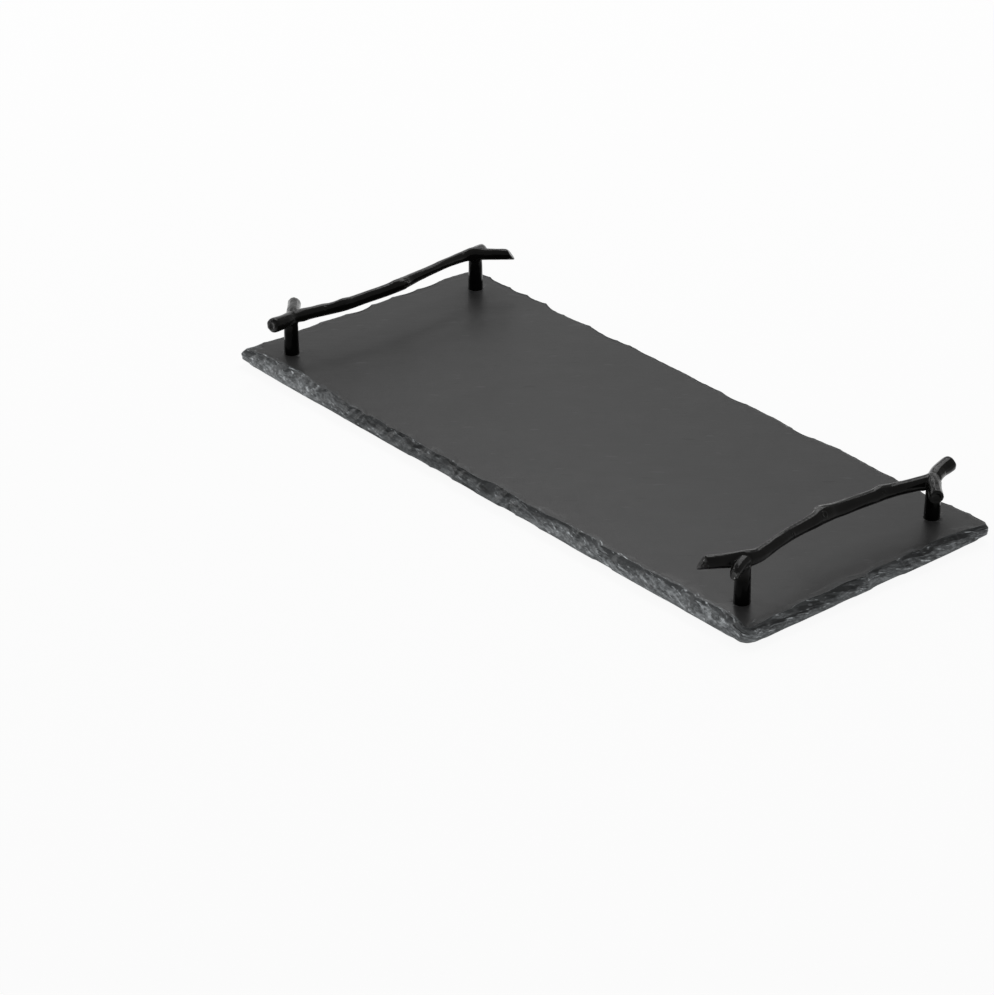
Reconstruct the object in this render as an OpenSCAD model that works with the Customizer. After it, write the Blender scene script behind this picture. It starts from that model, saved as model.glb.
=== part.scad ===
// Slate serving board with two cast twig handles.
// X runs along the board, Y across it, and Z up from the surface that it stands on.
// The origin lies under the middle of the board.

/* [Slate] */
// Length of the slate
slab_l = 401; // [340:1:460]
// Width of the slate
slab_w = 169; // [155:1:200]
// Thickness of the slate
slab_t = 6; // [4.5:0.5:9]
// Radius of the slate's corners, which differ a little
corner_r = 8.5; // [7:0.5:13]
// How far the chipping cuts the top face back
chip_depth = 5; // [3:0.25:6]
// Average length of one flake along the edge
flake_l = 18; // [13:0.5:26]
// Bevel of the edge round the underside
lip_bevel = 0.4; // [0.2:0.1:1]
// Depth of the deepest notch in the lower edge
notch_depth = 1.2; // [0.4:0.1:2]
// Which chipping pattern is struck
chip_pattern = 32; // [1:1:40]

/* [Posts] */
// From the ends of the slate to the posts' axes
post_inset = 24; // [18:0.5:34]
// From the long edges of the slate to the posts' axes
post_edge = 19.5; // [17:0.5:26]
// Diameter of the posts at the top
post_d = 7.8; // [7:0.1:10]
// Diameter of the posts where they stand on the slate
post_foot_d = 8.4; // [7.4:0.1:10.6]
// Height of the posts
post_h = 13; // [9:0.5:20]

/* [Twig handles] */
// Diameter of the twig's bar
bar_d = 6.8; // [6:0.1:8.6]
// Height of the bar's middle line above the posts
bar_rise = 8.4; // [7:0.2:12]
// How far the bar bows in towards the middle of the board
bar_bow = 7; // [2:0.5:12]
// How far the bar wanders up and down
bar_wander = 1; // [0:0.1:2]
// Diameter of the prongs of the fork
prong_d = 6.3; // [5.4:0.1:7.6]
// Length of the fork's inner prong
long_prong_l = 21; // [15:0.5:25]
// Length of the fork's outer prong
short_prong_l = 13.5; // [11:0.5:17]
// Diameter of the side stub
stub_d = 7.5; // [6:0.1:9]
// Length of the side stub
stub_l = 18; // [12:0.5:21]
// Diameter of the knob end
knob_d = 8.6; // [7.6:0.1:10.5]
// From the post's axis to the knob's end
knob_l = 16.5; // [12:0.5:18]
// Height of the largest knot on the bar
knot_h = 2.2; // [0:0.1:3.2]

/* [Screws and washers] */
// Diameter of the screws
screw_d = 4; // [3:0.5:4]
// Length of thread inside each twig
thread_grip = 5.2; // [4:0.2:6]
// Diameter of the screws' heads
head_d = 7.6; // [6.5:0.1:9]
// Height of the screws' heads
head_h = 2.2; // [1.6:0.1:2.4]
// Width across flats of the hexagon socket
socket_w = 2.5; // [2:0.5:3]
// Diameter of the washers
washer_d = 9; // [9:0.5:12]
// Thickness of the washers
washer_t = 0.8; // [0.5:0.1:1]

/* [Rubber feet] */
// Diameter of the feet where they meet the slate
foot_d = 12; // [9:0.5:16]
// Height of the feet
foot_h = 3.6; // [3.5:0.1:6]
// From the posts' axes to the feet, towards the middle of the board
foot_step = 25; // [16:1:60]
// From the long edges of the slate to the feet
foot_inset = 24; // [18:1:40]

/* [Hidden] */

slate_colour = "#4b4c4e";
casting_colour = "#171717";
steel_colour = "#9a9c9e";
rubber_colour = "#26272a";

round_sides = 20;
overrun = 0.5;

// Levels above the surface that the board stands on
slab_top = foot_h + slab_t;
seat_z = slab_top + post_h;

// Plan of the posts and feet, measured from the middle of the board
post_x = slab_l / 2 - post_inset;
post_y = slab_w / 2 - post_edge;
foot_x = post_x - foot_step;
foot_y = slab_w / 2 - foot_inset;
left = -1;
right = 1;
front = -1;
back = 1;

// Play round the screws
slate_play = 0.4;
post_play = 0.2;
thread_play = 0.05;
blind_end = 0.8;
slate_hole_d = screw_d + 2 * slate_play;
post_bore_d = screw_d + 2 * post_play;
thread_hole_d = screw_d + 2 * thread_play;
screw_l = washer_t + slab_t + post_h + thread_grip;

// Shares of a screw's head taken by its dome and by the depth of its socket
head_dome_share = 0.6;
socket_share = 0.55;

// Shares of a foot: its tread's diameter, and the rounding of its edges as a share of its height
tread_share = 0.8;
foot_edge_share = 0.25;

// The slate's outline is walked from the left end of the front edge, right round: each side is
// followed by the corner at its end, and each corner has its own radius
corner_shares = [0.7, 0.45, 1.6, 0.32];
corner_rs = corner_r * corner_shares;

// How far the chipping is held back at each corner, and over what length it comes back. On a
// corner, the one before it counts as so many of those lengths away
corner_calm_shares = [0.35, 0.45, 0.05, 0.35];
corner_calm_share = 2;
corner_calm_run = corner_calm_share * corner_r;
corner_before_share = 2;

// How far the underside's edge is worn back at each corner, as a share of the chipping's depth
corner_wear_shares = [0.05, 0.24, 0.1, 0.3];

function side_l(k) = k % 2 == 0 ? slab_l : slab_w;
function side_depth(k) = side_l(k + 1) / 2;
function corner_before(k) = corner_rs[(k + 3) % 4];
leg_runs = [for (k = [0:3])
    each [side_l(k) - corner_before(k) - corner_rs[k], PI / 2 * corner_rs[k]]];
leg_ends = [for (j = 0, end = leg_runs[0]; j < len(leg_runs); j = j + 1,
    end = end + (j < len(leg_runs) ? leg_runs[j] : 0)) end];
edge_run = leg_ends[len(leg_ends) - 1];
flake_count = round(edge_run / flake_l);
flake_run = edge_run / flake_count;

// Each flake is struck at a few places along its length, closer near its ends
flake_step_shares = [0, 0.08, 0.26, 0.5, 0.74, 0.92];
flake_steps = len(flake_step_shares);
edge_steps = flake_count * flake_steps;
flake_shift_share = 0.6;
scoop_power = 0.6;
notch_power = 4;
cusp_dice = rands(0.52, 0.84, flake_count, chip_pattern);
scoop_dice = rands(0.04, 0.34, flake_count, chip_pattern + 1);
shift_dice = rands(-0.5, 0.5, flake_count, chip_pattern + 2);
notch_dice = rands(0, 1, flake_count, chip_pattern + 3);
ledge_dice = rands(-1, 1, edge_steps, chip_pattern + 4);
corner_limit_share = 0.85;
corner_fade = 0.8;

// Rings of the edge from the underside up: height as a share of the thickness, depth as a share
// of the chipping, and how far both may stray
lip_height_share = 0.12;
edge_ring_shares = [
    [0.48, 0.36, 0.07],
    [0.76, 0.8, 0.07]
];

// Points inside the caps, along the middle of the board, from which its faces fan out
hub_count = 5;
hub_gap = (slab_l - slab_w) / (hub_count - 1);

function at_flake(list, k) = list[(k + flake_count) % flake_count];
function mix(a, b, t) = a + (b - a) * t;
function scoop(t) = pow(4 * t * (1 - t), scoop_power);

// Where flake k begins on the walk
function flake_start(k) = (k + flake_shift_share * at_flake(shift_dice, k)) * flake_run;

// What the corners before and after side k give of a list of their values, by their two shares
function at_corners(list, k, shares) = max(list[(k + 3) % 4] * shares[0], list[k] * shares[1]);

// Place, outward bearing, room for chipping, share of the chipping and share of the wear on the
// plain outline, at a distance along the walk
function outline_at(walk) =
    let (
        lap = (walk + edge_run) % edge_run,
        leg = len([for (end = leg_ends) if (end <= lap) end]),
        run = lap - (leg == 0 ? 0 : leg_ends[leg - 1]),
        k = floor(leg / 2),
        on_side = leg % 2 == 0,
        r = corner_rs[k],
        bearing = on_side ? -90 : 90 * run / leg_runs[leg] - 90,
        local = on_side ? [corner_before(k) - side_l(k) / 2 + run, -side_depth(k)]
            : [side_l(k) / 2 - r + r * cos(bearing), r - side_depth(k) + r * sin(bearing)],
        room = on_side
            ? min(corner_limit_share * corner_before(k) + corner_fade * run,
                corner_limit_share * r + corner_fade * (leg_runs[leg] - run))
            : corner_limit_share * r,
        away = on_side ? [run, leg_runs[leg] - run] / corner_calm_run : [corner_before_share, 0],
        shares = [bell(away[0]), bell(away[1])]
    )
    [
        local.x * cos(90 * k) - local.y * sin(90 * k),
        local.x * sin(90 * k) + local.y * cos(90 * k),
        bearing + 90 * k,
        room,
        1 - at_corners(corner_calm_shares, k, shares),
        at_corners(corner_wear_shares, k, shares)
    ];

// The edge at step i: place and bearing, depth of the chipping, of the notch and of the wear below
function edge_at(i) =
    let (
        k = floor(i / flake_steps),
        t = flake_step_shares[i % flake_steps],
        spot = outline_at(mix(flake_start(k), flake_start(k + 1), t)),
        cusp = mix(at_flake(cusp_dice, k), at_flake(cusp_dice, k + 1), t),
        chip = chip_depth * spot[4] * (cusp + at_flake(scoop_dice, k) * scoop(t)),
        notch = notch_depth * pow(at_flake(notch_dice, k), notch_power) * scoop(t),
        wear = chip_depth * spot[5]
    )
    [spot, min(chip, spot[3]), notch, max(notch, wear)];

edge = [for (i = [0:edge_steps - 1]) edge_at(i)];

function edge_point(i, inset, z) = [
    edge[i][0].x - inset * cos(edge[i][0].z),
    edge[i][0].y - inset * sin(edge[i][0].z),
    foot_h + z
];

function slab_rings() = concat(
    [[for (i = [0:edge_steps - 1]) edge_point(i, edge[i][3] + lip_bevel, 0)]],
    [[for (i = [0:edge_steps - 1]) edge_point(i, edge[i][3], lip_height_share * slab_t)]],
    [for (row = edge_ring_shares)
        [for (i = [0:edge_steps - 1])
            let (
                stray = row[2] * ledge_dice[i],
                inset = mix(edge[i][2], edge[i][1], row[1] + stray)
            )
            edge_point(i, inset, (row[0] - stray) * slab_t)]],
    [[for (i = [0:edge_steps - 1]) edge_point(i, edge[i][1], slab_t)]]
);

function hub_of(point) = max(0, min(hub_count - 1, round(point.x / hub_gap + (hub_count - 1) / 2)));

function cap_faces(ring, first, hub_first, up) = [
    for (i = [0:edge_steps - 1])
        let (
            j = (i + 1) % edge_steps,
            hub_i = hub_of(ring[i]),
            hub_j = hub_of(ring[j]),
            near = [first + i, hub_first + hub_j, first + j],
            between = [first + i, hub_first + hub_i, hub_first + hub_j]
        )
        each concat([up ? near : reverse(near)], hub_i == hub_j ? [] : [up ? between : reverse(between)])
];

function reverse(list) = [for (i = [len(list) - 1:-1:0]) list[i]];

// Side faces between rings of equal length, two triangles for each step
function wall_faces(rings, steps) = [
    for (k = [0:rings - 2])
        for (i = [0:steps - 1])
            let (
                j = (i + 1) % steps,
                low = k * steps,
                high = low + steps
            )
            each [[low + i, high + i, high + j], [low + i, high + j, low + j]]
];

module slab_blank() {
    rings = slab_rings();
    last = len(rings) - 1;
    hubs = [for (k = [0:hub_count - 1]) (k - (hub_count - 1) / 2) * hub_gap];
    hub_first = len(rings) * edge_steps;
    points = concat(
        [for (ring = rings) each ring],
        [for (x = hubs) [x, 0, foot_h]],
        [for (x = hubs) [x, 0, slab_top]]
    );
    faces = concat(
        cap_faces(rings[0], 0, hub_first, false),
        wall_faces(len(rings), edge_steps),
        cap_faces(rings[last], last * edge_steps, hub_first + hub_count, true)
    );
    polyhedron(points, faces, convexity = 4);
}

module at_posts() {
    for (side = [left, right], end = [front, back])
        translate([side * post_x, end * post_y, 0]) children();
}

module slate_slab() {
    color(slate_colour)
    difference() {
        slab_blank();
        at_posts()
            translate([0, 0, foot_h - overrun])
                cylinder(d = slate_hole_d, h = slab_t + 2 * overrun, $fn = round_sides);
    }
}

// A twig is drawn on the right handle: the fork is at its front end and the knob at its back.
// Its own X points outwards from the line through the posts.
// Middle line of the bar between its posts: along the bar as a share of post_y,
// inwards as a share of the bow, up as a share of the wander, thickness as a share of bar_d
bar_line_shares = [
    [-0.965, 0.17, 0.55, 1.08],
    [-0.86, 0, 0.6, 0.97],
    [-0.74, 0.14, 1, 0.88],
    [-0.6, 0.37, 1.5, 0.85],
    [-0.45, 0.59, 1.6, 0.85],
    [-0.3, 0.76, 1.45, 0.9],
    [-0.19, 0.9, 1.3, 0.99],
    [-0.08, 1.04, 1.2, 1.04],
    [0.02, 1.09, 1, 1.01],
    [0.15, 1.03, 0.6, 0.99],
    [0.3, 0.97, 0.35, 0.98],
    [0.45, 0.91, 0.1, 0.98],
    [0.56, 0.85, 0.1, 1],
    [0.7, 0.59, 0, 0.96],
    [0.84, 0.3, -0.1, 1],
    [0.985, 0.08, 0, 1.08]
];
bar_line = [for (row = bar_line_shares)
    [-row[1] * bar_bow, row[0] * post_y, bar_rise + row[2] * bar_wander, row[3] * bar_d / 2]];
fork = bar_line[0];
bar_end = bar_line[len(bar_line) - 1];

// Bearings of the branches seen from above, from the twig's own X, and how far they rise
long_prong_bearing = -125.5;
long_prong_rise = -0.9;
short_prong_bearing = -66;
short_prong_rise = -1.5;
stub_bearing = -39.8;
stub_rise = -0.9;
knob_bearing = 104;
knob_rise = 1.4;

// Points of the branches: along the branch as a share of its length, up as a share of its rise,
// thickness as a share of its diameter, and turn from its bearing in degrees
long_prong_shares = [
    [1, 1, 1, 0],
    [0.66, 0.66, 1, 0],
    [0.33, 0.33, 1.05, 0]
];
knob_shares = [
    [0.5, 0.5, 0.9, 6],
    [1, 1, 1, 0]
];
short_prong_shares = [
    [-0.72, -0.1, 0.65, -25],
    [-0.3, 0.05, 0.9, -32],
    [0.12, 0.35, 1.22, -6],
    [0.6, 0.6, 1.05, -3],
    [1, 1, 0.86, 0]
];
stub_shares = [
    [0, -0.6, 0.9, 0],
    [0.3, -0.4, 1, 0],
    [0.65, 0, 0.97, 0],
    [1, 0.4, 1, 0]
];

function branch_points(start, bearing, reach, rise, d, shares) = [for (row = shares)
    [
        start.x + row[0] * reach * cos(bearing + row[3]),
        start.y + row[0] * reach * sin(bearing + row[3]),
        start.z + row[1] * rise,
        row[2] * d / 2
    ]];

// The bar runs on past the fork as the long prong, and past its last post as the knob end
bar_path = concat(
    branch_points(fork, long_prong_bearing, long_prong_l, long_prong_rise, prong_d, long_prong_shares),
    bar_line,
    branch_points(bar_end, knob_bearing, knob_l, knob_rise, knob_d, knob_shares)
);
short_prong_path = branch_points(
    fork, short_prong_bearing, short_prong_l, short_prong_rise, prong_d, short_prong_shares);
stub_path = branch_points(bar_end, stub_bearing, stub_l, stub_rise, stub_d, stub_shares);

// Knots on the bar: along the bar as a share of post_y, bearing round the bar (0 is
// outwards, 90 is up), height as a share of knot_h, half length as a share of bar_d, spread in degrees
knot_shares = [
    [-0.08, 165, 1, 0.55, 48],
    [-0.02, 80, 0.16, 0.4, 120],
    [0.52, 95, 0.3, 0.5, 60],
    [0.72, 60, 0.22, 0.3, 40],
    [-0.58, 20, 0.18, 0.6, 60],
    [0.9, -70, 0.35, 0.35, 60],
    [-0.97, 100, 0.3, 0.7, 80]
];
bark_share = 0.03;
bark_turn = 23;

// The bar is flattened: widest towards this bearing, and round again at the knob
flat_share = 0.13;
flat_bearing = 120;

// Rounded, cut and hollowed ends: how far each closing ring leads and how much it shrinks, in radii
round_end_shares = [[0, 1], [0.22, 0.95], [0.36, 0.84], [0.42, 0.68], [0.34, 0.4]];
cut_end_shares = [[0, 1], [0.1, 0.93]];
hollow_end_shares = [[0, 1], [0.1, 0.95], [0.14, 0.84], [0.04, 0.7], [0, 0.45]];

// The prongs are cut on the slant, each towards its own bearing round the prong (270 is down), and
// the rings behind the cut, up to this many points back, lean with it
long_cut_share = 0.75;
long_cut_bearing = 272;
short_cut_share = 0.7;
short_cut_bearing = 235;
lean_points = 1.3;

// Bosses under the bar: how deep they sink into it and how wide they end there, in bar diameters
boss_sink_share = 0.3;
boss_top_share = 0.7;

bar_sides = 16;
branch_sides = 12;
steps_per_point = 3;
curve_nudge = 0.01;

function unit(v) = v / norm(v);
function angle_between(a, b) = abs((a - b + 540) % 360 - 180);
function bell(x) = exp(-x * x);

// Smooth curve through a list of points, at u counted in points
function curve_at(path, u) =
    let (
        last = len(path) - 1,
        k = min(floor(u), last - 1),
        t = u - k,
        b = path[k],
        c = path[k + 1],
        a = k > 0 ? path[k - 1] : 2 * b - c,
        d = k + 2 <= last ? path[k + 2] : 2 * c - b
    )
    (2 * b + (c - a) * t + (2 * a - 5 * b + 4 * c - d) * t * t + (3 * b - a - 3 * c + d) * t * t * t) / 2;

function place(row) = [row[0], row[1], row[2]];

function heading(path, u) =
    let (
        last = len(path) - 1,
        ahead = curve_at(path, min(u + curve_nudge, last)),
        behind = curve_at(path, max(u - curve_nudge, 0))
    )
    unit(place(ahead) - place(behind));

function knot_swell(y, angle) = sum([
    for (row = knot_shares)
        row[2] * knot_h
            * bell((y - row[0] * post_y) / (row[3] * bar_d))
            * bell(angle_between(angle, row[1]) / row[4])
]);

function sum(list, i = 0) = i < len(list) - 1 ? list[i] + sum(list, i + 1) : list[i];

function bark(u, angle) =
    1 + bark_share * (sin(2 * angle + bark_turn * u) + sin(3 * angle - 2 * bark_turn * u) / 2);

function flattening(y, angle) =
    1 + flat_share * cos(2 * (angle - flat_bearing)) * (1 - bell((y - post_y - knob_l) / (2 * knob_l)));

// One ring of a branch at u, led on along the path and drawn in, with a slanted end where asked
function branch_ring(path, sides, u, lead, shrink, slant, slant_bearing, knotted) =
    let (
        p = curve_at(path, u),
        t = heading(path, u),
        side = unit(cross(t, [0, 0, 1])),
        up = cross(side, t)
    )
    [for (k = [0:sides - 1])
        let (
            a = 360 * (sides - k) / sides,
            r = shrink * (p[3] * bark(u, a) * flattening(p.y, a) + (knotted ? knot_swell(p.y, a) : 0))
        )
        place(p) + r * cos(a) * side + r * sin(a) * up
            + t * (lead * p[3] + slant * r * cos(a - slant_bearing))];

// All rings of a branch: closing rings of its first end, rings along it, closing rings of its last end
function branch_rings(path, sides, first_end, last_end, first_slant, last_slant, slant_bearing, knotted) =
    let (
        last = len(path) - 1,
        steps = last * steps_per_point
    )
    concat(
        [for (row = reverse(first_end))
            branch_ring(path, sides, 0, -row[0], row[1], -first_slant, slant_bearing, knotted)],
        [for (i = [1:steps - 1])
            let (
                u = i / steps_per_point,
                slant = last_slant * max(0, 1 - (last - u) / lean_points)
                    - first_slant * max(0, 1 - u / lean_points)
            )
            branch_ring(path, sides, u, 0, 1, slant, slant_bearing, knotted)],
        [for (row = last_end)
            branch_ring(path, sides, last, row[0], row[1], last_slant, slant_bearing, knotted)]
    );

function middle(ring) = sum(ring) / len(ring);

module branch(rings, sides) {
    last = len(rings) - 1;
    count = len(rings) * sides;
    points = concat(
        [for (ring = rings) each ring],
        [middle(rings[0]), middle(rings[last])]
    );
    faces = concat(
        [for (i = [0:sides - 1]) [i, (i + 1) % sides, count]],
        wall_faces(len(rings), sides),
        [for (i = [0:sides - 1]) [last * sides + i, count + 1, last * sides + (i + 1) % sides]]
    );
    polyhedron(points, faces, convexity = 6);
}

// Round boss under the bar that sits on a post, drawn in where it goes into the bar
module boss() {
    sink = boss_sink_share * bar_d;
    cylinder(d = post_d, h = bar_rise - sink, $fn = round_sides);
    translate([0, 0, bar_rise - sink])
        cylinder(d1 = post_d, d2 = boss_top_share * bar_d, h = sink, $fn = round_sides);
}

// The casting stands on its seats at z = 0, in its own frame
module twig_casting() {
    difference() {
        union() {
            branch(branch_rings(bar_path, bar_sides, hollow_end_shares, round_end_shares,
                long_cut_share, 0, long_cut_bearing, true), bar_sides);
            branch(branch_rings(short_prong_path, branch_sides, cut_end_shares, hollow_end_shares,
                0, short_cut_share, short_cut_bearing, false), branch_sides);
            branch(branch_rings(stub_path, branch_sides, cut_end_shares, hollow_end_shares,
                0, 0, 0, false), branch_sides);
            for (end = [front, back])
                translate([0, end * post_y, 0]) boss();
        }
        for (end = [front, back])
            translate([0, end * post_y, -overrun])
                cylinder(d = thread_hole_d, h = overrun + thread_grip + blind_end, $fn = round_sides);
    }
}

module twig_handle(side) {
    color(casting_colour)
    rotate([0, 0, side == right ? 0 : 180])
        translate([post_x, 0, seat_z]) twig_casting();
}

module post(side, end) {
    color(casting_colour)
    translate([side * post_x, end * post_y, slab_top])
        difference() {
            cylinder(d1 = post_foot_d, d2 = post_d, h = post_h, $fn = round_sides);
            translate([0, 0, -overrun])
                cylinder(d = post_bore_d, h = post_h + 2 * overrun, $fn = round_sides);
        }
}

module screw(side, end) {
    dome = head_dome_share * head_h;
    rim = head_h - dome;
    color(steel_colour)
    translate([side * post_x, end * post_y, foot_h - washer_t])
        difference() {
            union() {
                cylinder(d = screw_d, h = screw_l, $fn = round_sides);
                rotate_extrude($fn = round_sides)
                    polygon(concat(
                        [[0, 0], [head_d / 2, 0]],
                        [for (a = [0:25:75])
                            [head_d / 4 * (1 + cos(a)), -rim - dome * sin(a)]],
                        [[0, -head_h]]
                    ));
            }
            translate([0, 0, -head_h - overrun])
                cylinder(d = socket_w / cos(30), h = socket_share * head_h + overrun, $fn = 6);
        }
}

module washer(side, end) {
    color(steel_colour)
    translate([side * post_x, end * post_y, foot_h - washer_t])
        difference() {
            cylinder(d = washer_d, h = washer_t, $fn = round_sides);
            translate([0, 0, -overrun])
                cylinder(d = post_bore_d, h = washer_t + 2 * overrun, $fn = round_sides);
        }
}

module foot(side, end) {
    edge_r = foot_edge_share * foot_h;
    tread_r = tread_share * foot_d / 2 - edge_r;
    color(rubber_colour)
    translate([side * foot_x, end * foot_y, 0])
        rotate_extrude($fn = round_sides)
            polygon(concat(
                [[0, 0]],
                [for (a = [-90:30:0])
                    [tread_r + edge_r * cos(a), edge_r + edge_r * sin(a)]],
                [[foot_d / 2, foot_h - edge_r], [foot_d / 2, foot_h], [0, foot_h]]
            ));
}

slate_slab();
twig_handle(left);  // left_twig_handle
twig_handle(right);  // right_twig_handle
post(left, front);  // left_front_post
post(left, back);  // left_back_post
post(right, front);  // right_front_post
post(right, back);  // right_back_post
screw(left, front);  // left_front_screw
screw(left, back);  // left_back_screw
screw(right, front);  // right_front_screw
screw(right, back);  // right_back_screw
washer(left, front);  // left_front_washer
washer(left, back);  // left_back_washer
washer(right, front);  // right_front_washer
washer(right, back);  // right_back_washer
foot(left, front);  // left_front_foot
foot(left, back);  // left_back_foot
foot(right, front);  // right_front_foot
foot(right, back);  // right_back_foot
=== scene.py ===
import itertools
import math
from collections import namedtuple

import bpy
import numpy as np
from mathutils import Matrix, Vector, noise
from mathutils.bvhtree import BVHTree
from mathutils.geometry import delaunay_2d_cdt


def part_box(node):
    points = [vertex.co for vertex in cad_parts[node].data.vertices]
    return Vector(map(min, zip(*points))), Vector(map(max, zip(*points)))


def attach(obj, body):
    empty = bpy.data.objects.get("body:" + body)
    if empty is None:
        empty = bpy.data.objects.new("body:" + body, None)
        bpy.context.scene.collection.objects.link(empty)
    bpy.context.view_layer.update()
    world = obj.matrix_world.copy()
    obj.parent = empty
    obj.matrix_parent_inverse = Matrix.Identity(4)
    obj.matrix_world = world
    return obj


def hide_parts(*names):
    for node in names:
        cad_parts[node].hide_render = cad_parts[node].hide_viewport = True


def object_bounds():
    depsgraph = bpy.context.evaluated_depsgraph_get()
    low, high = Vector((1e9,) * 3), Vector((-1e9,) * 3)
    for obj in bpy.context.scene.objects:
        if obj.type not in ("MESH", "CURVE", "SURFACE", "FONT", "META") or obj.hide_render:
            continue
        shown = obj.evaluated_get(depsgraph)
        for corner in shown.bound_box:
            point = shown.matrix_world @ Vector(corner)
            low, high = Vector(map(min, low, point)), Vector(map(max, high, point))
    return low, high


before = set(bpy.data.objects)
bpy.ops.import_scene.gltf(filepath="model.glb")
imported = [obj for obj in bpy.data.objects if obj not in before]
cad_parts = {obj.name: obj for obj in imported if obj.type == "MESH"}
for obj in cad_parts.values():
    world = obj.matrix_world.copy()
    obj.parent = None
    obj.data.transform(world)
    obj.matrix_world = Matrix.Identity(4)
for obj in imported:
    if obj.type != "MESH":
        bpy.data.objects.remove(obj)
cad_lo, cad_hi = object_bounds()

# Lengths are in metres, in the frame of the CAD model

MM = 0.001
SIDES = ("left", "right")
ENDS = ("front", "back")
SLAB_LO, SLAB_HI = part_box("slate_slab")
SLAB_T = SLAB_HI.z - SLAB_LO.z
HALF_L = (SLAB_HI.x - SLAB_LO.x) / 2
HALF_W = (SLAB_HI.y - SLAB_LO.y) / 2
HOLE_R = 2.4 * MM
POST_LO, POST_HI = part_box("right_front_post")
POST_BORE_R = 2.2 * MM
SEAT_INSET = 0.3 * MM
SEAT_R = (POST_HI.x - POST_LO.x) / 2 - SEAT_INSET
SEAT_Z = POST_HI.z


def centre_of(node):
    lo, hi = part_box(node)
    return (lo + hi) / 2


POSTS = {f"{side}_{end}": centre_of(f"{side}_{end}_post") for side in SIDES for end in ENDS}


# Shader nodes

def new_tree(holder):
    holder.use_nodes = True
    tree = holder.node_tree
    tree.nodes.clear()
    return tree


def feed(tree, socket, value):
    """Links value to the socket, or writes it there where it is a colour or a number."""
    if isinstance(value, bpy.types.NodeSocket):
        tree.links.new(value, socket)
    elif isinstance(value, tuple):
        socket.default_value = (*value, 1)
    else:
        socket.default_value = value


def maths(tree, operation, a, b):
    node = tree.nodes.new("ShaderNodeMath")
    node.operation = operation
    feed(tree, node.inputs[0], a)
    feed(tree, node.inputs[1], b)
    return node.outputs[0]


def plus(tree, a, b):
    return maths(tree, "ADD", a, b)


def times(tree, a, b):
    return maths(tree, "MULTIPLY", a, b)


def larger(tree, a, b):
    return maths(tree, "MAXIMUM", a, b)


def mapped(tree, value, low, high, to_low=0.0, to_high=1.0):
    """value eased from to_low, where it is low, to to_high, where it is high."""
    node = tree.nodes.new("ShaderNodeMapRange")
    node.interpolation_type = "SMOOTHSTEP"
    for socket, number in (("From Min", low), ("From Max", high), ("To Min", to_low), ("To Max", to_high)):
        node.inputs[socket].default_value = number
    tree.links.new(value, node.inputs["Value"])
    return node.outputs["Result"]


def ramp(tree, value, stops):
    """value through a colour ramp; stops are (place, colour)."""
    node = tree.nodes.new("ShaderNodeValToRGB")
    marks = node.color_ramp.elements
    while len(marks) < len(stops):
        marks.new(0.5)
    for mark, (at, colour) in zip(marks, stops):
        mark.position = at
        mark.color = (*colour, 1)
    tree.links.new(value, node.inputs["Fac"])
    return node.outputs["Color"]


def grey(level, tint=(1, 1, 1)):
    return tuple(level * t for t in tint)


def grey_ramp(tree, value, stops, tint=(1, 1, 1)):
    """value through a ramp of greys; stops are (place, grey)."""
    return ramp(tree, value, [(at, grey(level, tint)) for at, level in stops])


def blended(tree, factor, a, b):
    """The colour a where factor is 0 and b where it is 1."""
    node = tree.nodes.new("ShaderNodeMix")
    node.data_type = "RGBA"
    colour_a, colour_b, colour_out = node.inputs[6], node.inputs[7], node.outputs[2]
    tree.links.new(factor, node.inputs["Factor"])
    feed(tree, colour_a, a)
    feed(tree, colour_b, b)
    return colour_out


def attribute(tree, name, output="Fac"):
    node = tree.nodes.new("ShaderNodeAttribute")
    node.attribute_name = name
    return node.outputs[output]


def object_place(tree):
    return tree.nodes.new("ShaderNodeTexCoord").outputs["Object"]


def part_of(tree, vector, axis):
    node = tree.nodes.new("ShaderNodeSeparateXYZ")
    tree.links.new(vector, node.inputs["Vector"])
    return node.outputs[axis]


def stretched(tree, place, stretch, bearing=0.0):
    """place, changed so that a pattern is stretched along each axis and then turned to bearing."""
    node = tree.nodes.new("ShaderNodeMapping")
    node.vector_type = "TEXTURE"
    node.inputs["Rotation"].default_value = (0, 0, bearing)
    node.inputs["Scale"].default_value = stretch
    tree.links.new(place, node.inputs["Vector"])
    return node.outputs["Vector"]


def noise_at(tree, place, scale, detail, roughness=0.5, distortion=0.0):
    node = tree.nodes.new("ShaderNodeTexNoise")
    node.inputs["Scale"].default_value = scale
    node.inputs["Detail"].default_value = detail
    node.inputs["Roughness"].default_value = roughness
    node.inputs["Distortion"].default_value = distortion
    tree.links.new(place, node.inputs["Vector"])
    return node.outputs["Fac"]


CLOUD_ROUGHNESS = 0.55


def clouds(tree, scale, detail, stretch=(1, 1, 1)):
    """Noise with scale patches to the metre, drawn out along the axes by stretch."""
    return noise_at(tree, stretched(tree, object_place(tree), stretch), scale, detail, CLOUD_ROUGHNESS)


def bump(tree, height, distance, strength, under=None):
    node = tree.nodes.new("ShaderNodeBump")
    node.inputs["Distance"].default_value = distance
    node.inputs["Strength"].default_value = strength
    tree.links.new(height, node.inputs["Height"])
    if under is not None:
        tree.links.new(under, node.inputs["Normal"])
    return node.outputs["Normal"]


def facing(tree):
    """0 where the surface faces the eye and 1 where it is seen edge-on."""
    return tree.nodes.new("ShaderNodeLayerWeight").outputs["Facing"]


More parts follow.
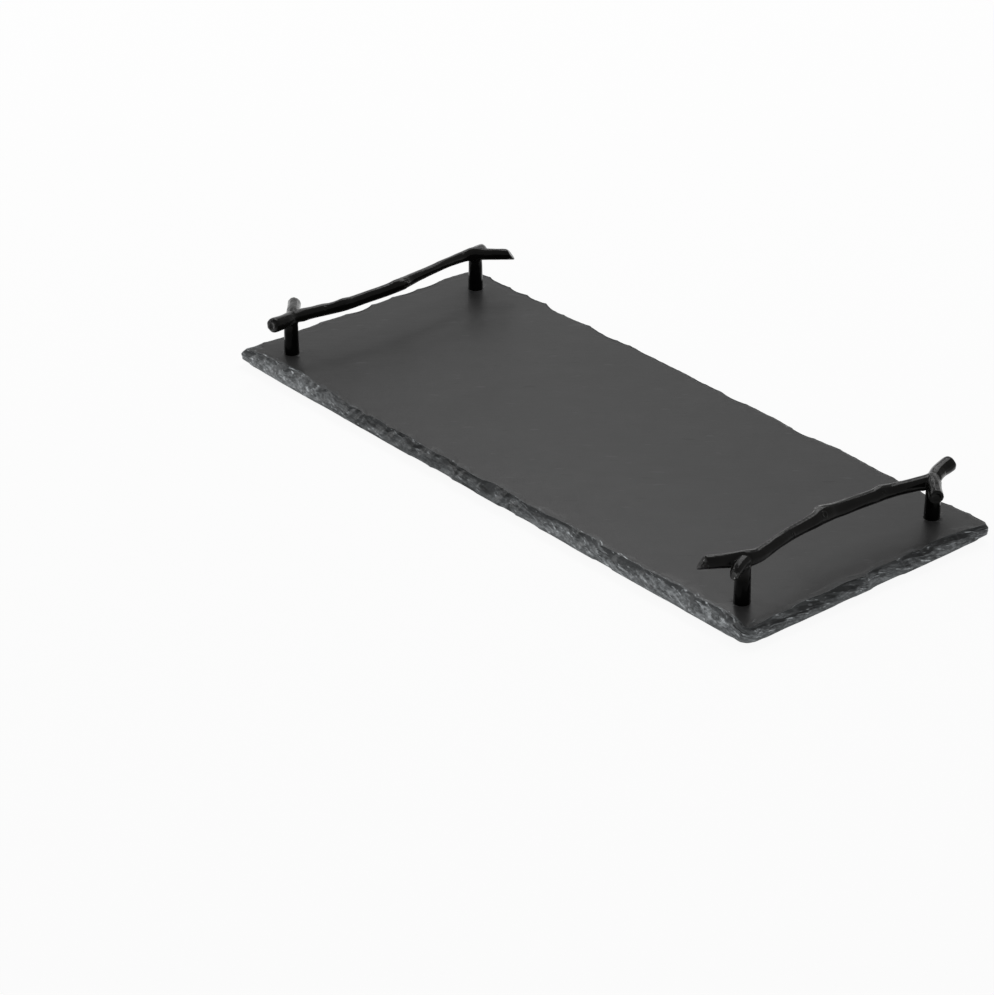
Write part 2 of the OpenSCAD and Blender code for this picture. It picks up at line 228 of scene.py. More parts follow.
def shader(name, specular=None, metallic=0.0):
    """A new material, its tree and its Principled shader."""
    look = bpy.data.materials.new(name)
    tree = new_tree(look)
    out = tree.nodes.new("ShaderNodeOutputMaterial")
    body = tree.nodes.new("ShaderNodeBsdfPrincipled")
    body.inputs["Metallic"].default_value = metallic
    if specular is not None:
        body.inputs["Specular IOR Level"].default_value = specular
    tree.links.new(body.outputs[0], out.inputs["Surface"])
    return look, tree, body


def mixed_out(tree, factor, a, b, output):
    """Gives out the shader a where factor is 0 and b where it is 1."""
    mix = tree.nodes.new("ShaderNodeMixShader")
    out = tree.nodes.new(output)
    tree.links.new(factor, mix.inputs["Fac"])
    tree.links.new(a.outputs[0], mix.inputs[1])
    tree.links.new(b.outputs[0], mix.inputs[2])
    tree.links.new(mix.outputs[0], out.inputs["Surface"])


# Camera, fitted to the photo's frame

CAMERA_AT = Vector((1168.0, -1052.8, 818.9)) * MM
CAMERA_BEARING = math.radians(-49.8626)
CAMERA_DOWN = math.radians(28.3632)
PHOTO_H_PX = 995
FOCAL_PX = 3401.5
SENSOR = 36.0
CLIP_NEAR = 0.05
CLIP_FAR = 50.0


def make_camera():
    data = bpy.data.cameras.new("camera")
    data.sensor_width = SENSOR
    data.lens = FOCAL_PX / PHOTO_H_PX * SENSOR
    data.clip_start = CLIP_NEAR
    data.clip_end = CLIP_FAR
    camera = bpy.data.objects.new("camera", data)
    camera.location = CAMERA_AT
    ahead = Vector((
        math.sin(CAMERA_BEARING) * math.cos(CAMERA_DOWN),
        math.cos(CAMERA_BEARING) * math.cos(CAMERA_DOWN),
        -math.sin(CAMERA_DOWN),
    ))
    camera.rotation_euler = ahead.to_track_quat("-Z", "Y").to_euler()
    bpy.context.scene.collection.objects.link(camera)
    bpy.context.scene.camera = camera


# Floor, world and lamps

FLOOR_HALF = 12.0
FLOOR_GAP = 0.02 * MM
FLOOR_GREY = (0.8, 0.8, 0.8)
FLOOR_GLOW = 0.93
AMBIENT = 0.46

# Name, place, the place it is aimed at, length, width, power in watts
LAMPS = [
    ("long_softbox", (-0.8, 0.95, 1.5), (-0.8, 0, 0), 1.6, 0.7, 19.5),
    ("left_lamp", (-1.35, -0.6, 0.85), (0, 0, 0), 0.3, 0.3, 4),
]


def shown_as_background(tree):
    """1 for rays from the camera, in reflections and through glass; 0 for those that light the object."""
    rays = tree.nodes.new("ShaderNodeLightPath").outputs
    seen = larger(tree, rays["Is Camera Ray"], rays["Is Glossy Ray"])
    return larger(tree, seen, rays["Is Transmission Ray"])


def make_floor():
    """A flat white floor. To the eye, FLOOR_GLOW of it is its own white and the rest is lit."""
    mesh = bpy.data.meshes.new("floor")
    corners = [(-1, -1), (1, -1), (1, 1), (-1, 1)]
    level = cad_lo.z - FLOOR_GAP
    mesh.from_pydata([(x * FLOOR_HALF, y * FLOOR_HALF, level) for x, y in corners], [], [(0, 1, 2, 3)])
    floor = bpy.data.objects.new("floor", mesh)
    bpy.context.scene.collection.objects.link(floor)
    look = bpy.data.materials.new("floor")
    tree = new_tree(look)
    matt = tree.nodes.new("ShaderNodeBsdfDiffuse")
    feed(tree, matt.inputs["Color"], FLOOR_GREY)
    glow = tree.nodes.new("ShaderNodeEmission")
    share = times(tree, shown_as_background(tree), FLOOR_GLOW)
    mixed_out(tree, share, matt, glow, "ShaderNodeOutputMaterial")
    mesh.materials.append(look)


def make_world():
    """Lights the object evenly from all round, and shows as pure white."""
    world = bpy.data.worlds.new("studio")
    bpy.context.scene.world = world
    tree = new_tree(world)
    around = tree.nodes.new("ShaderNodeBackground")
    around.inputs["Strength"].default_value = AMBIENT
    white = tree.nodes.new("ShaderNodeBackground")
    white.inputs["Strength"].default_value = 1.0
    mixed_out(tree, shown_as_background(tree), around, white, "ShaderNodeOutputWorld")


def make_lamp(name, place, aim, length, width, power):
    data = bpy.data.lights.new(name, "AREA")
    data.shape = "RECTANGLE"
    data.size = length
    data.size_y = width
    data.energy = power
    lamp = bpy.data.objects.new(name, data)
    lamp.location = place
    lamp.rotation_euler = (Vector(aim) - Vector(place)).to_track_quat("-Z", "Y").to_euler()
    bpy.context.scene.collection.objects.link(lamp)


# Slate colours

# Greys are shares of white, and those on a ramp are given as (place on it, grey)
BLUISH = (0.95, 1.0, 1.03)
CLOUD_GREYS = [(0.3, 0.035), (0.7, 0.041)]
VEIN_GREYS = [(0.3, 0.034), (0.55, 0.038), (0.75, 0.042)]
DARK_WISP_GREY = 0.028
LIGHT_WISP_GREY = 0.056
SPECK_GREY = 0.10
DULL_BREAK_GREYS = [(0.34, 0.052), (0.50, 0.070), (0.66, 0.100)]
FRESH_BREAK_GREYS = [(0.36, 0.095), (0.50, 0.21), (0.64, 0.44)]
FOOT_GREY = 0.25
HOLLOW_GREY = 0.047
# The next grey is painted shade, the dark in the scoops under the chipped edge's upper rim
SCOOP_SHADE_GREY = 0.024
SPLIT_GREY = 0.62

# The face's noises: patches to the metre, the depth of those that are in its bump, and the grain's bearing
CLOUDS = 22
VEINS = 90
SPECKS = 700
WISPS = 300
WISP_DEPTH = 0.10 * MM
GRAIN = 1500
GRAIN_DEPTH = 0.05 * MM
GRAIN_BEARING = math.radians(50)

# Sizes of the marks on the chipped edge, as (length along it, height), and how far they lean
STREAK = (7 * MM, 1.2 * MM)
GRIT = (2.2 * MM, 0.7 * MM)
HOLLOW = (11 * MM, 2.6 * MM)
# Patches of the painted shade in the scoops
SCOOP_SHADE_PATCH = (18 * MM, 1.7 * MM)
SPLIT = (7 * MM, 0.9 * MM)
SPLIT_CLUSTER = (7 * MM, 2.4 * MM)
SPLIT_BREAK = (2 * MM, 0.7 * MM)
FRINGE = (11 * MM, 2.2 * MM)
LEAN = math.radians(5)
SPLIT_LEAN = 2 * LEAN


def along_grain(tree, scale, detail, stretch):
    """Noise drawn out along the slate's grain, which lies aslant on the board."""
    place = stretched(tree, object_place(tree), (stretch, 1, 1), GRAIN_BEARING)
    return noise_at(tree, place, scale, detail)


def edge_noise(tree, size, detail, distortion=0.0, lean=LEAN):
    """Noise laid out along the chipped edge, in patches of that size that lean down to the right."""
    place = stretched(tree, attribute(tree, "edge_place", "Vector"), (*size, 1), -lean)
    return noise_at(tree, place, 1, detail, distortion=distortion)


def edge_level(tree):
    """0 at the foot of the chipped edge and 1 at its upper rim."""
    return maths(tree, "DIVIDE", part_of(tree, attribute(tree, "edge_place", "Vector"), "Y"), SLAB_T)


def face_colour(tree, wisps):
    """The riven top: calm and dark, with clouds, veins, pale specks, and wisps along the grain."""
    cloud = clouds(tree, CLOUDS, 4)
    face = grey_ramp(tree, cloud, CLOUD_GREYS)
    veins = grey_ramp(tree, along_grain(tree, VEINS, 4, 2), VEIN_GREYS)
    face = blended(tree, mapped(tree, cloud, 0.4, 0.6, 0.3, 0.7), face, veins)
    face = blended(tree, mapped(tree, wisps, 0.66, 0.74, 0.0, 0.8), face, grey(DARK_WISP_GREY))
    face = blended(tree, mapped(tree, wisps, 0.34, 0.26, 0.0, 0.8), face, grey(LIGHT_WISP_GREY))
    return blended(tree, mapped(tree, clouds(tree, SPECKS, 2), 0.79, 0.83), face, grey(SPECK_GREY))


def broken_stone(tree, fresh, level):
    """The chipped edge: streaks and grit, paler where the break is fresh and towards the foot."""
    haze = plus(tree, edge_noise(tree, STREAK, 4, 0.3), edge_noise(tree, GRIT, 4, 0.3))
    haze = times(tree, plus(tree, haze, -1.0), mapped(tree, level, 0.3, 0.8, 0.8, 0.5))
    haze = plus(tree, haze, 0.5)
    dull = grey_ramp(tree, haze, DULL_BREAK_GREYS, BLUISH)
    stone = blended(tree, fresh, dull, grey_ramp(tree, haze, FRESH_BREAK_GREYS, BLUISH))
    foot = times(tree, mapped(tree, level, 0.05, 0.6, 0.5, 0.0), mapped(tree, fresh, 0.3, 1.0, 0.55, 1.0))
    return blended(tree, foot, stone, grey(FOOT_GREY, BLUISH))


def hollows(tree, fresh, level):
    """Where smooth hollows lie that look like the face, most of them under the upper rim."""
    rise = mapped(tree, level, 0.3, 1.3, 0.0, 0.3)
    hollow = mapped(tree, plus(tree, edge_noise(tree, HOLLOW, 3, 0.4), rise), 0.55, 0.65, 0.0, 0.85)
    return times(tree, hollow, mapped(tree, fresh, 0.35, 0.9, 1.0, 0.55))


def painted_scoop_shade(tree):
    """Where painted shade darkens the scoops under the upper rim, in the zones that the mesh marks for
    them.
    """
    scoop = attribute(tree, "scoop")
    spread = plus(tree, edge_noise(tree, SCOOP_SHADE_PATCH, 3, 0.3), times(tree, scoop, 0.12))
    return times(tree, mapped(tree, scoop, 0.0, 0.5), mapped(tree, spread, 0.56, 0.66))


def splits(tree, fresh, dark):
    """Where thin light lines run, in clusters, and on the crests between the mesh's flakes."""
    cluster = plus(tree, edge_noise(tree, SPLIT_CLUSTER, 2), times(tree, fresh, 0.16))
    lines = mapped(tree, edge_noise(tree, SPLIT, 2, 0.4, SPLIT_LEAN), 0.56, 0.66)
    lines = times(tree, lines, mapped(tree, cluster, 0.54, 0.64))
    # Light lines are fainter in the painted shade of the scoops
    lines = times(tree, lines, mapped(tree, dark, 0.0, 1.0, 1.0, 0.35))
    lines = times(tree, lines, mapped(tree, fresh, 0.0, 0.5, 0.5, 1.0))
    split = larger(tree, lines, times(tree, attribute(tree, "crest"), 0.8))
    return times(tree, split, mapped(tree, edge_noise(tree, SPLIT_BREAK, 3), 0.4, 0.56, 0.2, 1.0))


def edge_colour(tree):
    fresh = attribute(tree, "fresh")
    level = edge_level(tree)
    dark = painted_scoop_shade(tree)
    stone = broken_stone(tree, fresh, level)
    stone = blended(tree, hollows(tree, fresh, level), stone, grey(HOLLOW_GREY, BLUISH))
    # Painted shade in the scoops under the upper rim
    stone = blended(tree, dark, stone, grey(SCOOP_SHADE_GREY, BLUISH))
    return blended(tree, splits(tree, fresh, dark), stone, grey(SPLIT_GREY, BLUISH))


def slate_material():
    look, tree, body = shader("slate", 0.1)
    wisps = along_grain(tree, WISPS, 3, 4)
    grain = clouds(tree, GRAIN, 3)

    # The break runs ragged into the top face
    ragged = times(tree, plus(tree, edge_noise(tree, FRINGE, 4, 0.4), -0.5), 1.6)
    chipped = mapped(tree, plus(tree, attribute(tree, "chipped"), ragged), 0.45, 0.6)
    colour = blended(tree, chipped, face_colour(tree, wisps), edge_colour(tree))
    feed(tree, body.inputs["Base Color"], colour)
    feed(tree, body.inputs["Roughness"], mapped(tree, grain, 0.3, 0.7, 0.29, 0.37))
    fine = bump(tree, grain, GRAIN_DEPTH, 0.5)
    feed(tree, body.inputs["Normal"], bump(tree, wisps, WISP_DEPTH, 0.6, fine))
    return look


# Other materials

# Colours at the two ends of a cloudy ramp, patches to the metre, and depths and stretches of the bumps.
# The casting's sheen is turned down up to SHADED_HEIGHT over its seats, as painted shade
CASTING_COLOURS = [(0.35, (0.0034, 0.0033, 0.0030)), (0.65, (0.0060, 0.0058, 0.0053))]
CASTING_CLOUDS = 160
CASTING_GLINTS = 500
CASTING_GRAIN = 1500
CASTING_GRAIN_DEPTH = 0.02 * MM
CASTING_BARK = 420
CASTING_BARK_DEPTH = 0.05 * MM
CASTING_BARK_STRETCH = (1, 1 / 0.35, 1)
SHADED_HEIGHT = 5 * MM

POST_GREYS = [(0.35, 0.0024), (0.65, 0.0040)]
POST_CLOUDS = 240
POST_GRAIN = 900
POST_GRAIN_DEPTH = 0.03 * MM

STEEL_COLOURS = [(0.35, (0.40, 0.40, 0.41)), (0.65, (0.55, 0.55, 0.55))]
STEEL_CLOUDS = 300
STEEL_BRUSHING = 2500
STEEL_BRUSHING_DEPTH = 0.01 * MM
STEEL_BRUSHING_STRETCH = (1, 1, 5)

RUBBER_GREYS = [(0.35, 0.016), (0.65, 0.026)]
RUBBER_CLOUDS = 400
RUBBER_GRAIN = 1800
RUBBER_GRAIN_DEPTH = 0.04 * MM


def casting_material():
    """Black lacquer, its sheen turned down near the slate as painted shade, with glints on the twig's blunt
    ends.
    """
    look, tree, body = shader("black_casting")
    height = part_of(tree, object_place(tree), "Z")
    # Painted shade: less sheen low down, near the seats
    lit = mapped(tree, height, SEAT_Z, SEAT_Z + SHADED_HEIGHT, 0.35, 1.0)
    gloss = times(tree, mapped(tree, facing(tree), 0.45, 0.7, 0.08, 0.5), lit)
    glints = mapped(tree, clouds(tree, CASTING_GLINTS, 2), 0.45, 0.6, 0.12, 0.5)
    gloss = larger(tree, gloss, times(tree, attribute(tree, "cut"), glints))
    feed(tree, body.inputs["Specular IOR Level"], gloss)
    cloud = clouds(tree, CASTING_CLOUDS, 4)
    feed(tree, body.inputs["Base Color"], ramp(tree, cloud, CASTING_COLOURS))
    feed(tree, body.inputs["Roughness"], mapped(tree, cloud, 0.35, 0.65, 0.13, 0.2))
    fine = bump(tree, clouds(tree, CASTING_GRAIN, 3), CASTING_GRAIN_DEPTH, 0.5)
    bark = clouds(tree, CASTING_BARK, 4, CASTING_BARK_STRETCH)
    feed(tree, body.inputs["Normal"], bump(tree, bark, CASTING_BARK_DEPTH, 0.5, fine))
    return look


def post_material():
    look, tree, body = shader("black_post")
    feed(tree, body.inputs["Specular IOR Level"], mapped(tree, facing(tree), 0.4, 0.7, 0.03, 0.45))
    cloud = clouds(tree, POST_CLOUDS, 3)
    feed(tree, body.inputs["Base Color"], grey_ramp(tree, cloud, POST_GREYS))
    feed(tree, body.inputs["Roughness"], mapped(tree, cloud, 0.35, 0.65, 0.14, 0.22))
    feed(tree, body.inputs["Normal"], bump(tree, clouds(tree, POST_GRAIN, 3), POST_GRAIN_DEPTH, 0.5))
    return look


def steel_material():
    look, tree, body = shader("zinc_steel", 0.5, metallic=1.0)
    cloud = clouds(tree, STEEL_CLOUDS, 4)
    feed(tree, body.inputs["Base Color"], ramp(tree, cloud, STEEL_COLOURS))
    feed(tree, body.inputs["Roughness"], mapped(tree, cloud, 0.3, 0.7, 0.28, 0.45))
    brushing = clouds(tree, STEEL_BRUSHING, 2, STEEL_BRUSHING_STRETCH)
    feed(tree, body.inputs["Normal"], bump(tree, brushing, STEEL_BRUSHING_DEPTH, 0.5))
    return look


def rubber_material():
    look, tree, body = shader("foot_rubber", 0.35)
    cloud = clouds(tree, RUBBER_CLOUDS, 4)
    feed(tree, body.inputs["Base Color"], grey_ramp(tree, cloud, RUBBER_GREYS))
    feed(tree, body.inputs["Roughness"], mapped(tree, cloud, 0.3, 0.7, 0.62, 0.8))
    feed(tree, body.inputs["Normal"], bump(tree, clouds(tree, RUBBER_GRAIN, 3), RUBBER_GRAIN_DEPTH, 0.6))
    return look


# What the pieces share

def ramped(value, start, end):
    """0 up to start, 1 from end on and straight between them; start may be the larger."""
    return np.clip((value - start) / (end - start), 0, 1)


def wander(values, scale, seed):
    """Smooth noise from -1 to 1 at points given as rows of two or three numbers."""
    flat = np.zeros((values.size // values.shape[-1], 3))
    flat[:, :values.shape[-1]] = values.reshape(-1, values.shape[-1]) * scale
    flat[:, 2] += seed
    out = [noise.noise(p) for p in flat.tolist()]
    return np.array(out).reshape(values.shape[:-1])


def finished(name, mesh, sharp, look):
    """An object in the scene with that mesh, smooth but for edges sharper than the angle."""
    mesh.update()
    mesh.polygons.foreach_set("use_smooth", [True] * len(mesh.polygons))
    mesh.set_sharp_from_angle(angle=sharp)
    mesh.materials.clear()
    mesh.materials.append(look)
    piece = bpy.data.objects.new(name, mesh)
    bpy.context.scene.collection.objects.link(piece)
    return piece


# The slate board

# Its edge is walked round in even steps, along a rounded rectangle of the slab's size
EDGE_STEP = 0.5 * MM
PATH_R = 14 * MM

# Rows of points run along this path: up the wall, and in over the rim of the top face to RIM_DEPTH.
# The wall is looked for from REACH outside the path, at heights that keep SKIN from both faces
WALL_ROWS = 24
RIM_ROWS = 9
RIM_DEPTH = 11 * MM
RIM_SPACING_POWER = 1.25
WALL_DEPTH_MOST = 0.8 * RIM_DEPTH
REACH = 12 * MM
SKIN = 0.02 * MM

# Inside the rim, points lie in a triangular pattern that strays a little. Each screw hole has HOLE_POINTS
# round it, and triangles nearer its axis than this share of its radius are left out
INNER_STEP = 3.2 * MM
INNER_STRAY_SHARE = 0.15
HOLE_POINTS = 32
OPEN_HOLE_SHARE = 0.98
MERGE_GAP = 1e-7
SLATE_SHARP = math.radians(38)
SLATE_SEED = 20

# Flakes struck off: how many, their radii, how deep they bite, and how far they are drawn out
Flakes = namedtuple("Flakes", "count radii bites stretch")
LARGE_FLAKES = Flakes(300, (1.8 * MM, 4.6 * MM), (0.5 * MM, 1.4 * MM), 2.4)
SMALL_FLAKES = Flakes(700, (0.8 * MM, 1.9 * MM), (0.15 * MM, 0.5 * MM), 2.0)
SHELL_FLAKES = Flakes(190, (1.4 * MM, 4.2 * MM), (0.25 * MM, 0.9 * MM), 2.2)

# Shells split off the top face: the band beside the wall that they are struck in, how deep they reach, the
# depth from which they look chipped in full, how much that is, and how it grows with the bevel
SHELL_BAND = (-1.5 * MM, 2 * MM)
SHELL_DEPTH = 0.15 * MM
SHELL_FULL = 0.12 * MM
SHELL_CHIPPED_SHARE = 0.45
SHELL_SHOWN_PER_BEVEL = 4
SHELL_SHOWN_LEAST = 0.1

# Crests between flakes: the part of a flake's radius where they rise, and their strengths
CREST_BAND_SHARES = (0.55, 0.85)
CREST_STRENGTH_SHARES = (0.1, 1)
CREST_STRENGTH_POWER = 1.5
# Crests keep this share of their strength in the scoops' painted shade
CREST_IN_SCOOP_SHADE_SHARE = 0.4
CREST_ON_SHELL_SHARE = 0.7

# Zones of the edge, as (distance in mm along it from the left end of its front side, share):
# how freshly it is broken there, how much painted shade darkens the scoops under its upper rim, and its
# share of BEVEL
FRESH_SHARES = [
    (0, 1.0), (40, 1.0), (62, 0.45), (90, 0.1), (200, 0.15), (255, 0.75), (373, 1.1), (392, 0.5),
    (440, 0.32), (500, 0.45), (540, 0.4), (570, 0.25), (700, 0.4), (850, 0.25), (960, 0.35),
    (1080, 0.6), (1116, 1.0),
]
SCOOP_SHADE_SHARES = [
    (0, 0.1), (50, 0.15), (80, 0.5), (200, 0.4), (250, 0.1), (360, 0.15), (385, 0.7), (440, 0.9),
    (540, 1.0), (600, 0.5), (1116, 0.1),
]
BEVEL_SHARES = [
    (0, 1.0), (45, 0.9), (75, 0.35), (130, 0.5), (230, 0.35), (270, 0.8), (370, 0.9), (392, 0.7),
    (440, 0.5), (530, 0.35), (560, 0.0), (1080, 0.0), (1116, 0.9),
]
BEVEL = 3.2 * MM

# Shares of the wall's height where flakes, the scoops' painted shade and the foot's own fresh stone begin
# and are in full
FLAKED_SHARES = (0.05, 0.3)
SCOOP_SHADE_HEIGHT_SHARES = (0.3, 0.6)
FOOT_FRESH_SHARES = (0.5, 0)
FOOT_FRESH = 0.13

# The zones' fresh stone is multiplied by FRESH_AT_FOOT at the foot and by FRESH_FALL less at the top, but
# never by more than 1. Crests are multiplied by CREST_PER_FRESH times the zone's share, with the same limit
FRESH_AT_FOOT = 1.45
FRESH_FALL = 1.05
CREST_PER_FRESH = 1.2

# How far the break frays into the top face, more where the edge is bevelled, and how fresh it is there
RAGGED = 2.6 * MM
RAGGED_LEAST_SHARE = 0.3
RIM_FRESH_SHARE = 0.6

# The lip, the lowest part of the wall, is cut in no deeper than LIP_PLAY past its own smooth course
LIP_SHARE = 0.14
LIP_PLAY = 0.35 * MM
LIP_PASSES = 2000
WALL_PASSES = 2

# Steps along the slate's layers, and how their levels wander: layers up or down, patches to the metre, seed
LAYER = 0.85 * MM
LAYER_SHARPNESS = 2.5
LAYER_WAVES = [(1.6, 40, 3.1), (0.6, 260, 8.2)]
TERRACE_SHARE = 0.4

# The wall's finest roughness and the riven top's swells: depth, patches to the metre, seed.
# Round each post the top is flat up to CALM_R and riven in full from SWELL_R on
WALL_ROUGHNESS = (0.08 * MM, 900, 0.4)
SWELLS = [(0.10 * MM, 22, 1.7), (0.05 * MM, 95, 5.2)]
CALM_R = 5 * MM
SWELL_R = 10 * MM

# The path: its points, their outward bearings, its length, its number of points, how far along it each of
# them lies, and its zones
Edge = namedtuple("Edge", "places outward total count walk fresh scoop bevel")

# A row of points along the path: how far in from it and how high they lie, what the material reads there,
# and level, which is the way up the wall and on inwards over the top face
Row = namedtuple("Row", "inward z chipped crest fresh scoop level")


def rounded_path():
    """Points and outward bearings at even steps round a rounded rectangle of the slab's size."""
    sides = [2 * (HALF_L - PATH_R), 2 * (HALF_W - PATH_R)] * 2
    arc = math.pi / 2 * PATH_R
    legs = [length for side in sides for length in (side, arc)]
    total = sum(legs)
    count = round(total / EDGE_STEP)
    places, outward = [], []
    for i in range(count):
        run, leg = i * total / count, 0
        while run >= legs[leg]:
            run -= legs[leg]
            leg += 1
        quarter = leg // 2
        half_along, half_across = (HALF_L, HALF_W) if quarter % 2 == 0 else (HALF_W, HALF_L)
        turn = run / PATH_R if leg % 2 else 0.0
        if leg % 2:
            x = half_along - PATH_R + PATH_R * math.sin(turn)
            y = -half_across + PATH_R - PATH_R * math.cos(turn)
        else:
            x, y = run - half_along + PATH_R, -half_across
        c, s = math.cos(quarter * math.pi / 2), math.sin(quarter * math.pi / 2)
        places.append((x * c - y * s, x * s + y * c))
        bearing = turn - math.pi / 2 + quarter * math.pi / 2
        outward.append((math.cos(bearing), math.sin(bearing)))
    return np.array(places), np.array(outward), total


def zoned(walk, total, shares):
    """A list of shares by distance along the edge, read off at each step."""
    at = np.array([place for place, _ in shares]) / shares[-1][0] * total
    return np.interp(walk, at, [share for _, share in shares])


def walked_edge():
    places, outward, total = rounded_path()
    count = len(places)
    walk = np.arange(count) * total / count
    zones = [zoned(walk, total, shares) for shares in (FRESH_SHARES, SCOOP_SHADE_SHARES, BEVEL_SHARES)]
    return Edge(places, outward, total, count, walk, *zones)


def cad_tree(node):
    place = node.matrix_world
    points = [place @ v.co for v in node.data.vertices]
    return BVHTree.FromPolygons(points, [tuple(p.vertices) for p in node.data.polygons])


def wall_depths(edge, heights):
    """How far in from the path the CAD slab's wall lies, for each step and height."""
    tree = cad_tree(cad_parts["slate_slab"])
    depth = np.zeros((edge.count, len(heights)))
    for i, (place, out) in enumerate(zip(edge.places, edge.outward)):
        inward = Vector((-out[0], -out[1], 0))
        x, y = place + REACH * out
        for k, z in enumerate(heights):
            hit = tree.ray_cast(Vector((x, y, z)), inward, REACH + RIM_DEPTH)[3]
            depth[i, k] = RIM_DEPTH if hit is None else hit - REACH
    return depth


def smoothed(field, passes):
    """Averages each step with its neighbours along the edge."""
    for _ in range(passes):
        field = field / 2 + (np.roll(field, 1, axis=0) + np.roll(field, -1, axis=0)) / 4
    return field


def flakes(edge, across, rng, kind, low, high):
    """Hollow flakes between two levels across the edge: how deep they bite, and the crests between them."""
    depth = np.zeros_like(across)
    crest = np.zeros_like(across)
    smallest, largest = kind.radii
    for centre in rng.uniform(0, edge.total, kind.count):
        radius = rng.uniform(smallest, largest)
        deepest = rng.uniform(*kind.bites) * (radius - smallest / 2) / (largest - smallest / 2)
        middle = rng.uniform(low, high)
        crest_bearing = rng.uniform(0, 2 * math.pi)
        strength = rng.uniform(*CREST_STRENGTH_SHARES) ** CREST_STRENGTH_POWER
        gap = (edge.walk - centre + edge.total / 2) % edge.total - edge.total / 2
        near = np.nonzero(np.abs(gap) < radius * kind.stretch)[0]
        v = across[near] - middle
        lengthways = (gap[near, None] * math.cos(LEAN) - v * math.sin(LEAN)) / kind.stretch
        upwards = gap[near, None] * math.sin(LEAN) + v * math.cos(LEAN)
        ratio = np.hypot(lengthways, upwards) / radius
        bowl = deepest * (1 - ratio**2)
        turned = np.clip(np.cos(np.arctan2(upwards, lengthways) - crest_bearing), 0, 1)
        rim = ramped(ratio, *CREST_BAND_SHARES) * turned * strength
        wins = bowl > depth[near]
        depth[near] = np.where(wins, bowl, depth[near])
        crest[near] = np.where(wins, rim, crest[near])
    return depth, crest


def terraced(depth, heights, places):
    """Steps the wall along the slate's own layers, which lie flat and are split at odd heights."""
    phase = sum(layers * wander(places, scale, seed) for layers, scale, seed in LAYER_WAVES)
    out = np.empty_like(depth)
    for i in range(len(depth)):
        u = (heights - heights[0]) / LAYER + phase[i]
        floor = np.floor(u)
        snapped = (floor + (u - floor) ** LAYER_SHARPNESS - phase[i]) * LAYER + heights[0]
        out[i] = np.interp(snapped, heights, depth[i])
    return out


def hole_gap(x, y):
    """How far a place is from the axis of the nearest screw hole."""
    return min(math.hypot(x - post.x, y - post.y) for post in POSTS.values())


def relief(xy):
    """How far the riven top dips below flat, nothing where a post stands."""
    swell = sum(depth * (1 + wander(xy, scale, seed)) for depth, scale, seed in SWELLS)
    clear = np.ones(len(xy))
    for post in POSTS.values():
        clear *= ramped(np.hypot(xy[:, 0] - post.x, xy[:, 1] - post.y), CALM_R, SWELL_R)
    return swell * clear


def wall_rows(edge, rng):
    """Rows up the wall, which is the CAD slab's with flakes bitten out and steps along the layers."""
    heights = np.linspace(SLAB_LO.z + SKIN, SLAB_HI.z - SKIN, WALL_ROWS)
    share = (heights - heights[0]) / (heights[-1] - heights[0])
    in_lip = share < LIP_SHARE
    base = smoothed(wall_depths(edge, heights), WALL_PASSES)
    lip = base[:, in_lip].min(axis=1, keepdims=True)
    base = np.where(in_lip, np.minimum(lip, smoothed(lip, LIP_PASSES) + LIP_PLAY), base)

    up = np.tile(heights - SLAB_LO.z, (edge.count, 1))
    large, large_crest = flakes(edge, up, rng, LARGE_FLAKES, 0, SLAB_T)
    small, small_crest = flakes(edge, up, rng, SMALL_FLAKES, 0, SLAB_T)
    struck = np.maximum(large, small)
    flaked = ramped(share, *FLAKED_SHARES)
    bite = struck - struck.mean() + BEVEL * edge.bevel[:, None] * share**2
    depth = np.maximum(base + flaked * bite, base.min(axis=1, keepdims=True))
    depth = depth + TERRACE_SHARE * (terraced(depth, heights, edge.places) - depth)
    grid = np.stack([np.tile(edge.walk[:, None], (1, WALL_ROWS)), up], axis=-1)
    roughness, scale, seed = WALL_ROUGHNESS
    depth = np.minimum(depth + flaked * roughness * wander(grid, scale, seed), WALL_DEPTH_MOST)

    # Fresh stone shows most at the foot, and the scoops' painted shade lies higher up
    fresh = edge.fresh[:, None] * np.minimum(FRESH_AT_FOOT - FRESH_FALL * share, 1)
    fresh = fresh + FOOT_FRESH * ramped(share, *FOOT_FRESH_SHARES)
    scoop = edge.scoop[:, None] * ramped(share, *SCOOP_SHADE_HEIGHT_SHARES)
    crest = np.where(large > small, large_crest, small_crest)
    crest = crest * np.minimum(CREST_PER_FRESH * edge.fresh[:, None], 1)
    # Crests are fainter in the scoops' painted shade
    crest = crest * (1 - (1 - CREST_IN_SCOOP_SHADE_SHARE) * scoop)
    rows = [
        Row(depth[:, k], z, 1, crest[:, k], fresh[:, k], scoop[:, k], z - SLAB_LO.z)
        for k, z in enumerate(heights)
    ]
    rows[0] = rows[0]._replace(z=SLAB_LO.z, level=0)
    return rows


